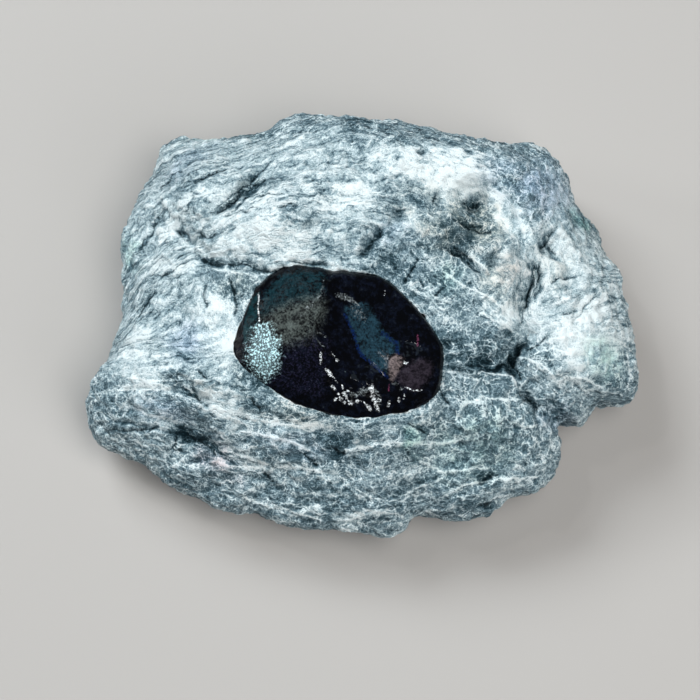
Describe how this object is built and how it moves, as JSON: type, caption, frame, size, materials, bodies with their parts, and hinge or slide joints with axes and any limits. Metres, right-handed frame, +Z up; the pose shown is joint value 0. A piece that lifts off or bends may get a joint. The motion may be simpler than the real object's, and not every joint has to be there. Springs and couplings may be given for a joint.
{
  "type": "apache tear obsidian in perlite matrix",
  "caption": "Hand specimen of grey flow-banded perlite with a glossy black obsidian nodule set in its upper face; it rests on a flat broken base.",
  "frame": {"origin": "middle of the specimen's bounding box in plan, on the flat base that it rests on", "axes": "+Z up from the base; +X along the specimen's length, to the right in the picture; +Y away from the viewer, towards the high back bank"},
  "size_m": [0.076, 0.0586, 0.0265],
  "materials": {
    "perlite": "matte",
    "obsidian": "gloss"
  },
  "bodies": {
    "root": {"perlite_matrix": "perlite", "obsidian_nodule": "obsidian"}
  },
  "joints": []
}
